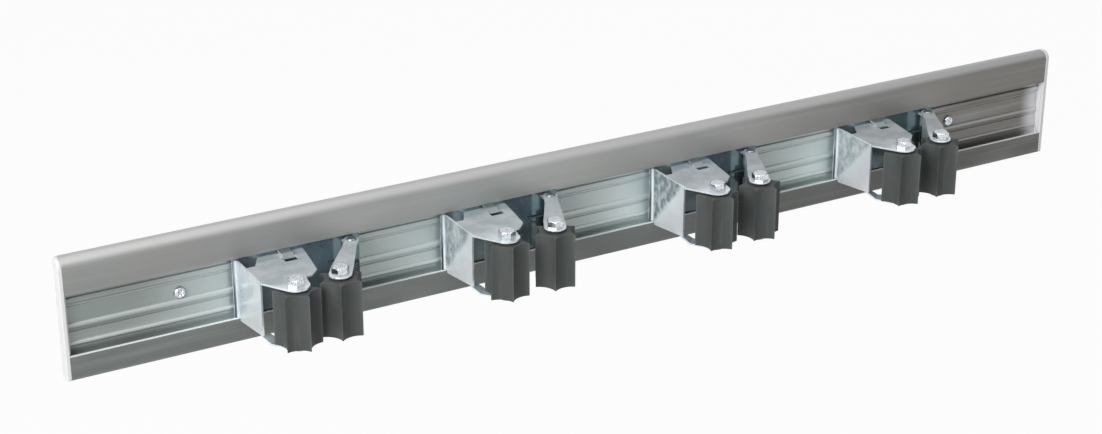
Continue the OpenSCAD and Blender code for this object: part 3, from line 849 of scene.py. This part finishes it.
@dataclass
class Roller:
    """One rubber roller, rebuilt on the place of its CAD node."""

    node: str
    body: str
    tips: int = 6
    face_steps: int = 12
    hollow: float = 3.5 * MM
    bore: float = 4.05 * MM
    edge: float = 0.7 * MM
    edge_steps: int = 3
    merge: float = 0.001 * MM
    rim_from: float = 12.15 * MM
    end_slant: float = 0.9
    sharp_angle: float = math.radians(38)
    low: Vector = field(init=False)
    high: Vector = field(init=False)
    centre: Vector = field(init=False)

    def __post_init__(self) -> None:
        """Finds the roller's ends and its axle."""
        self.low, self.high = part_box(self.node)
        joint = next(j for j in frame["joints"] if j["child"] == self.body)
        self.centre = Vector(joint["pos_m"])

    def _radius_and_turn(self) -> Span:
        """Measures the star on the CAD node.

        Returns:
            The radius over the tips and the angle of one tip.
        """
        reach, turn = 0.0, 0.0
        for vertex in frame["nodes"][self.node].data.vertices:
            arm = vertex.co - self.centre
            size = math.hypot(arm.x, arm.y)
            if size > reach + SLACK:
                reach, turn = size, math.atan2(arm.y, arm.x)
        return reach, turn

    def _star(self, mesh: bmesh.types.BMesh) -> None:
        """Spins one hollow face of the star from tip to tip and repeats it round the axle.

        Args:
            mesh: the empty mesh of the roller.
        """
        reach, turn = self._radius_and_turn()
        half = math.pi / self.tips
        half_chord = reach * math.sin(half)
        radius = (half_chord ** 2 + self.hollow ** 2) / (2 * self.hollow)
        away = reach * math.cos(half) - self.hollow + radius
        pivot = self.centre + Vector((math.cos(turn + half), math.sin(turn + half), 0)) * away
        tip = self.centre + Vector((math.cos(turn), math.sin(turn), 0)) * reach
        first = mesh.verts.new((tip.x, tip.y, self.low.z))
        bmesh.ops.spin(
            mesh, geom=[first], cent=pivot, axis=(0, 0, -1), angle=2 * math.asin(half_chord / radius),
            steps=self.face_steps, use_merge=False, use_duplicate=False,
        )
        bmesh.ops.spin(
            mesh, geom=list(mesh.verts) + list(mesh.edges), cent=self.centre, axis=(0, 0, 1),
            angle=2 * half * (self.tips - 1), steps=self.tips - 1, use_merge=False, use_duplicate=True,
        )
        bmesh.ops.remove_doubles(mesh, verts=mesh.verts, dist=self.merge)
        self._mark_ridges(mesh, reach)

    def _mark_ridges(self, mesh: bmesh.types.BMesh, reach: float) -> None:
        """Writes how near each point of the star is to a tip, for the wear.

        Args:
            mesh: the mesh of the roller.
            reach: radius over the tips.
        """
        ridge = mesh.verts.layers.float.new("ridge")
        deepest = reach * math.cos(math.pi / self.tips) - self.hollow
        for vertex in mesh.verts:
            away = (vertex.co.xy - self.centre.xy).length
            vertex[ridge] = max(0.0, (away - deepest) / (reach - deepest)) ** 2

    def _end(self, mesh: bmesh.types.BMesh, rim: list[bmesh.types.BMEdge]) -> list[bmesh.types.BMEdge]:
        """Closes one end with a flat ring from its rim to the bore.

        Args:
            mesh: the mesh of the roller.
            rim: edges of the end's outer rim.

        Returns:
            The edges round the bore.
        """
        edges, verts = extruded(mesh, rim)
        for vertex in verts:
            way = (vertex.co.xy - self.centre.xy).normalized()
            vertex.co.xy = self.centre.xy + way * self.bore
        return edges

    def _is_rim(self, edge: bmesh.types.BMEdge) -> bool:
        """Looks where an edge lies.

        Args:
            edge: an edge of the finished shape.

        Returns:
            True on the outer rim of either end.
        """
        flat = any(
            all(abs(v.co.z - end.z) < SLACK for v in edge.verts) for end in (self.low, self.high)
        )
        return flat and all((v.co.xy - self.centre.xy).length > self.rim_from for v in edge.verts)

    def build(self) -> None:
        """Models the roller and puts it in the place of its CAD node."""
        mesh = bmesh.new()
        self._star(mesh)
        rise = (0.0, 0.0, self.high.z - self.low.z)
        low_rim = list(mesh.edges)
        high_rim, verts = extruded(mesh, low_rim)
        bmesh.ops.translate(mesh, verts=verts, vec=rise)
        self._end(mesh, high_rim)
        verts = extruded(mesh, self._end(mesh, low_rim))[1]
        bmesh.ops.translate(mesh, verts=verts, vec=rise)
        bmesh.ops.remove_doubles(mesh, verts=mesh.verts, dist=self.merge)
        bmesh.ops.bevel(
            mesh, geom=[e for e in mesh.edges if self._is_rim(e)], offset=self.edge, offset_type="OFFSET",
            segments=self.edge_steps, profile=0.5, affect="EDGES", material=-1,
        )
        piece = new_piece(self.node + "_rubber", mesh, Slot.RUBBER, self.body, self.node)
        for polygon in piece.data.polygons:
            polygon.use_smooth = abs(polygon.normal.z) < self.end_slant
        piece.data.set_sharp_from_angle(angle=self.sharp_angle)


@dataclass
class Spring:
    """Torsion spring of one clip: a leg on the arm, the coil, a leg on the back plate."""

    clip: int
    wire_r: float = 0.8 * MM
    coil_r: float = 5.0 * MM
    pitch: float = 2.15 * MM
    start_z: float = -14.0 * MM
    turns: int = 6
    steps: int = 28
    sides: int = 12
    sharp_angle: float = math.radians(50)
    # Ends of the legs, in metres from the hinge, and each clip's turn of the lower leg in degrees.
    arm_leg: Span = (-3.6 * MM, -30.0 * MM)
    plate_leg: Span = (-18.0 * MM, 6.4 * MM)
    leg_turns: tuple[float, ...] = (32.5, 26.4, 27.6, 28.9)
    hinge: Vector = field(init=False)

    def __post_init__(self) -> None:
        """Finds the hinge of the arm."""
        joint = next(j for j in frame["joints"] if j["child"] == f"clip_{self.clip}_arm_body")
        self.hinge = Vector(joint["pos_m"])

    def _span(self) -> Span:
        """Works out the ends of the coil, from which the legs run straight to their places.

        Returns:
            The angles at which the coil begins and ends.
        """
        (ax, ay), (px, py) = self.arm_leg, self.plate_leg
        first = math.atan2(ay, ax) + math.acos(self.coil_r / math.hypot(ax, ay))
        last = math.atan2(py, px) - math.acos(self.coil_r / math.hypot(px, py))
        return first - math.radians(self.leg_turns[self.clip - 1]), last + 2 * math.pi * self.turns

    def _leg_length(self, end: Span) -> float:
        """Returns the straight length from the coil to a leg's end."""
        return math.sqrt(math.hypot(*end) ** 2 - self.coil_r ** 2)

    @staticmethod
    def _leg(mesh: bmesh.types.BMesh, ring: list[bmesh.types.BMEdge], angle: float, length: float) -> None:
        """Runs a straight leg on from an end of the coil and closes it.

        Args:
            mesh: the mesh of the spring.
            ring: edges of the coil's open end.
            angle: where the leg leaves the coil.
            length: its length, negative against the sense of the coil.
        """
        way = Vector((-math.sin(angle), math.cos(angle), 0.0)) * length
        edges, verts = extruded(mesh, ring)
        bmesh.ops.translate(mesh, verts=verts, vec=way)
        bmesh.ops.contextual_create(mesh, geom=edges)

    def build(self) -> None:
        """Winds the spring round the hinge, with its two legs."""
        first, last = self._span()
        mesh = bmesh.new()
        ring = bmesh.ops.create_circle(mesh, segments=self.sides, radius=self.wire_r, cap_ends=False)["verts"]
        upright = Matrix.Rotation(math.pi / 2, 4, "X")
        out = Matrix.Translation(self.hinge) @ Matrix.Rotation(first, 4, "Z")
        out = out @ Matrix.Translation((self.coil_r, 0.0, self.start_z - self.hinge.z)) @ upright
        bmesh.ops.transform(mesh, verts=ring, matrix=out)
        begin = list(mesh.edges)
        count = math.ceil((last - first) / (2 * math.pi) * self.steps)
        rise = (last - first) / (2 * math.pi) * self.pitch
        spun = bmesh.ops.spin(
            mesh, geom=ring + begin, cent=self.hinge, axis=(0, 0, 1), dvec=(0, 0, rise / count),
            angle=last - first, steps=count, use_merge=False, use_duplicate=False,
        )
        end = [g for g in spun["geom_last"] if isinstance(g, bmesh.types.BMEdge)]
        self._leg(mesh, begin, first, -self._leg_length(self.arm_leg))
        self._leg(mesh, end, last, self._leg_length(self.plate_leg))
        node = f"clip_{self.clip}_spring"
        piece = new_piece(node + "_wire", mesh, Slot.SPRING, None, node)
        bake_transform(piece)
        for polygon in piece.data.polygons:
            polygon.use_smooth = len(polygon.vertices) == 4
        piece.data.set_sharp_from_angle(angle=self.sharp_angle)


@dataclass
class WallScrews:
    """The two wall screws: pressed heads from the CAD solid, and a rolled thread behind them."""

    node: str = "wall_screws"
    body: str = "rail_body"
    crest_r: float = 2.25 * MM
    root_r: float = 1.7 * MM
    pitch: float = 1.8 * MM
    steps: int = 20
    start_y: float = 0.7 * MM
    tip: float = 5.0 * MM
    tip_share: float = 0.06
    merge: float = 0.003 * MM
    sharp_angle: float = math.radians(35)
    # Turns that the thread starts before its cut, and the ends of its flanks in shares of the pitch.
    lead: float = 1.5
    flank_begin: float = 0.36
    crest_begin: float = 0.62
    crest_end: float = 0.74

    def _centres(self) -> list[Vector]:
        """Finds the two screws on the CAD node.

        Returns:
            The middle of each screw in the wall plane.
        """
        places = [v.co for v in frame["nodes"][self.node].data.vertices]
        found = []
        for side in (-1, 1):
            xs = [p.x for p in places if p.x * side > 0]
            found.append(Vector(((min(xs) + max(xs)) / 2, 0.0, 0.0)))
        return found

    def _thread(self, mesh: bmesh.types.BMesh, centre: Vector, end_y: float) -> None:
        """Spins one screw's thread and draws its end out to a point.

        Args:
            mesh: the empty mesh of the thread.
            centre: middle of the screw in the wall plane.
            end_y: where the point ends, in metres along Y.
        """
        start = self.start_y - self.lead * self.pitch
        stations = (
            (0.0, self.root_r), (self.flank_begin, self.root_r), (self.crest_begin, self.crest_r),
            (self.crest_end, self.crest_r), (1.0, self.root_r),
        )
        verts = [mesh.verts.new((centre.x + r, start + share * self.pitch, 0.0)) for share, r in stations]
        edges = [mesh.edges.new(pair) for pair in zip(verts, verts[1:])]
        turns = math.ceil((end_y - start) / self.pitch) + 1
        bmesh.ops.spin(
            mesh, geom=verts + edges, cent=centre, axis=(0, 1, 0), dvec=(0, self.pitch / self.steps, 0),
            angle=2 * math.pi * turns, steps=self.steps * turns, use_merge=False, use_duplicate=False,
        )
        bmesh.ops.remove_doubles(mesh, verts=mesh.verts, dist=self.merge)
        neck_y = end_y - self.tip
        cut(mesh, self.start_y, -1)
        cut(mesh, neck_y, 1)
        open_edges = [e for e in mesh.edges if e.is_boundary]
        rim = [e for e in open_edges if all(abs(v.co.y - neck_y) < SLACK for v in e.verts)]
        far = extruded(mesh, rim)[1]
        bmesh.ops.translate(mesh, verts=far, vec=(0, self.tip, 0))
        place = Matrix.Translation(-Vector((centre.x, end_y, 0)))
        bmesh.ops.scale(mesh, verts=far, vec=(self.tip_share, 1.0, self.tip_share), space=place)
        bmesh.ops.holes_fill(mesh, edges=[e for e in mesh.edges if e.is_boundary], sides=0)

    def build(self) -> None:
        """Keeps the heads, threads the shanks and dresses both screws as one piece."""
        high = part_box(self.node)[1]
        whole = bmesh.new()
        whole.from_mesh(frame["nodes"][self.node].data)
        bmesh.ops.remove_doubles(whole, verts=whole.verts, dist=WELD)
        cut(whole, self.start_y, 1)
        bmesh.ops.holes_fill(whole, edges=[e for e in whole.edges if e.is_boundary], sides=0)
        for centre in self._centres():
            part = bmesh.new()
            self._thread(part, centre, high[1])
            bmesh.ops.recalc_face_normals(part, faces=part.faces)
            data = bpy.data.meshes.new("thread")
            part.to_mesh(data)
            part.free()
            whole.from_mesh(data)
            bpy.data.meshes.remove(data)
        piece = new_piece("wall_screws_threaded", whole, Slot.BRIGHT, self.body, self.node)
        piece.data.set_sharp_from_angle(angle=self.sharp_angle)


@dataclass
class Rail:
    """The extruded rail with its two end caps."""

    edge: float = 0.45 * MM
    cap_edge: float = 0.6 * MM

    def build(self) -> None:
        """Dresses the extrusion and both caps."""
        dress_node("rail", FINISHES[Slot.ALUMINIUM], self.edge)
        for side in ("left", "right"):
            dress_node("cap_" + side, FINISHES[Slot.CAP], self.cap_edge)


@dataclass
class Clip:
    """One sliding clip with its bracket, arm, pins, spring and two rollers."""

    number: int
    # A softened edge would tear at the acute corner of the bracket's side wall, so it has none.
    bracket_edge: float = 0.0
    arm_edge: float = 0.3 * MM
    pin_edge: float = 0.3 * MM

    def build(self) -> None:
        """Dresses the pressed and turned parts, then builds the rubber and the spring."""
        name = f"clip_{self.number}_"
        dress_node(name + "bracket", FINISHES[Slot.SHEET], self.bracket_edge)
        dress_node(name + "arm", FINISHES[Slot.SHEET], self.arm_edge)
        for part in ("fixed_axle", "swing_axle"):
            dress_node(name + part, FINISHES[Slot.BRIGHT], self.pin_edge)
        for part in ("fixed_retainer", "swing_retainer", "hinge_pin", "spacer"):
            dress_node(name + part, DULL, self.pin_edge)
        for side in ("fixed", "swing"):
            Roller(f"{name}{side}_roller", f"{name}{side}_roller_body").build()
        Spring(self.number).build()


@dataclass(frozen=True)
class AreaLight:
    """One soft box of the studio."""

    name: str
    place: Triple
    size: Span
    power: float
    aim: Triple = (0.0, -0.03, 0.0)

    def build(self) -> None:
        """Adds the lamp and turns it to its aim."""
        data = bpy.data.lights.new(self.name, "AREA")
        data.shape = "RECTANGLE"
        data.size, data.size_y = self.size
        data.energy = self.power
        lamp = bpy.data.objects.new(self.name, data)
        lamp.location = self.place
        way = Vector(self.aim) - Vector(self.place)
        lamp.rotation_euler = way.to_track_quat("-Z", "Y").to_euler()
        bpy.context.scene.collection.objects.link(lamp)


@dataclass(frozen=True)
class Studio:
    """Floor, lights, world and camera."""

    # The camera as it was fitted to the photograph: angles in degrees, distance in metres.
    target: Triple = (-0.06045, -0.012, -0.00335)
    yaw: float = 29.76
    pitch: float = 23.23
    distance: float = 1.9509
    focal_px: float = 2238.95
    image_width: int = 1102
    sensor: float = 36.0
    clip_range: Span = (0.05, 100.0)

    # The floor and its share of plain white where it is seen or mirrored.
    floor_level: float = -0.42
    floor_size: float = 30.0
    paper: Colour = (0.62, 0.63, 0.63, 1.0)
    floor_glow: float = 0.96

    # The world: white, greyer to the right, and dim but where it is seen or mirrored.
    grey_wall: Colour = (0.52, 0.53, 0.54, 1.0)
    grey_x: Span = (-0.7, 0.8)
    white_y: Span = (0.2, 0.8)
    world_light: float = 0.18
    world_seen: float = 0.72

    lights: tuple[AreaLight, ...] = (
        AreaLight("key", (-2.3, -1.3, 1.3), (1.5, 1.5), 76.0),
        AreaLight("fill", (1.4, -2.2, 0.9), (1.4, 1.0), 2.5),
        AreaLight("top", (0.3, -0.25, 2.2), (4.4, 3.0), 29.0),
    )

    def _camera(self) -> None:
        """Adds the camera."""
        yaw, pitch = math.radians(self.yaw), math.radians(self.pitch)
        back = Vector((-math.sin(yaw) * math.cos(pitch), -math.cos(yaw) * math.cos(pitch), math.sin(pitch)))
        data = bpy.data.cameras.new("camera")
        data.sensor_width = self.sensor
        data.lens = self.sensor * self.focal_px / self.image_width
        data.clip_start, data.clip_end = self.clip_range
        camera = bpy.data.objects.new("camera", data)
        camera.location = Vector(self.target) + back * self.distance
        camera.rotation_euler = (-back).to_track_quat("-Z", "Y").to_euler()
        bpy.context.scene.collection.objects.link(camera)
        bpy.context.scene.camera = camera

    @staticmethod
    def _seen(make: NodeMaker) -> Socket:
        """Returns 1 for rays that show the background: seen, mirrored or let through."""
        kinds = ("Camera", "Glossy", "Transmission")
        return sum(make.node("ShaderNodeLightPath", {}, {}, f"Is {kind} Ray") for kind in kinds).clamped()

    def _floor(self) -> None:
        """Adds the floor, which keeps the shadows and shows white."""
        mesh = bmesh.new()
        bmesh.ops.create_grid(mesh, x_segments=1, y_segments=1, size=self.floor_size)
        data = bpy.data.meshes.new("floor")
        mesh.to_mesh(data)
        mesh.free()
        floor = bpy.data.objects.new("floor", data)
        floor.location.z = self.floor_level
        bpy.context.scene.collection.objects.link(floor)
        material = bpy.data.materials.new("floor")
        material.use_nodes = True
        make = NodeMaker(material.node_tree)
        paper = make.node("ShaderNodeBsdfDiffuse", {}, {"Color": self.paper})
        glow = make.node("ShaderNodeEmission", {}, {"Color": WHITE, "Strength": 1.0})
        share = self._seen(make) * self.floor_glow
        make.surface(make.node("ShaderNodeMixShader", {}, {0: share, 1: paper, 2: glow}))
        data.materials.append(material)
        floor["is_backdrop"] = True

    def _world(self) -> None:
        """Lights the world evenly, with a greyer wall to the right."""
        world = bpy.context.scene.world or bpy.data.worlds.new("world")
        bpy.context.scene.world = world
        world.use_nodes = True
        make = NodeMaker(world.node_tree)
        way = make.node("ShaderNodeTexCoord", {}, {}, "Generated")
        side = make.node("ShaderNodeSeparateXYZ", {}, {0: way}, "X")
        depth = make.node("ShaderNodeSeparateXYZ", {}, {0: way}, "Y")
        walls = make.mix(side.band(*self.grey_x), WHITE, self.grey_wall)
        walls = make.mix(depth.band(*self.white_y), walls, WHITE)
        strength = self.world_light + self.world_seen * self._seen(make)
        make.surface(make.node("ShaderNodeBackground", {}, {"Color": walls, "Strength": strength}))

    def build(self) -> None:
        """Sets up the whole studio."""
        bpy.context.scene.view_settings.view_transform = "Standard"
        self._camera()
        self._floor()
        self._world()
        for light in self.lights:
            light.build()


def main() -> None:
    """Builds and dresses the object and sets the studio."""
    logging.basicConfig(level=logging.INFO)
    parts = [Rail(), WallScrews(), *(Clip(number) for number in CLIPS), Studio()]
    for part in parts:
        part.build()
        log.info("built %s", part)
    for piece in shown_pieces():
        log.info("piece %s, %d faces", piece.name, len(piece.data.polygons))


if __name__ == "__main__":
    main()
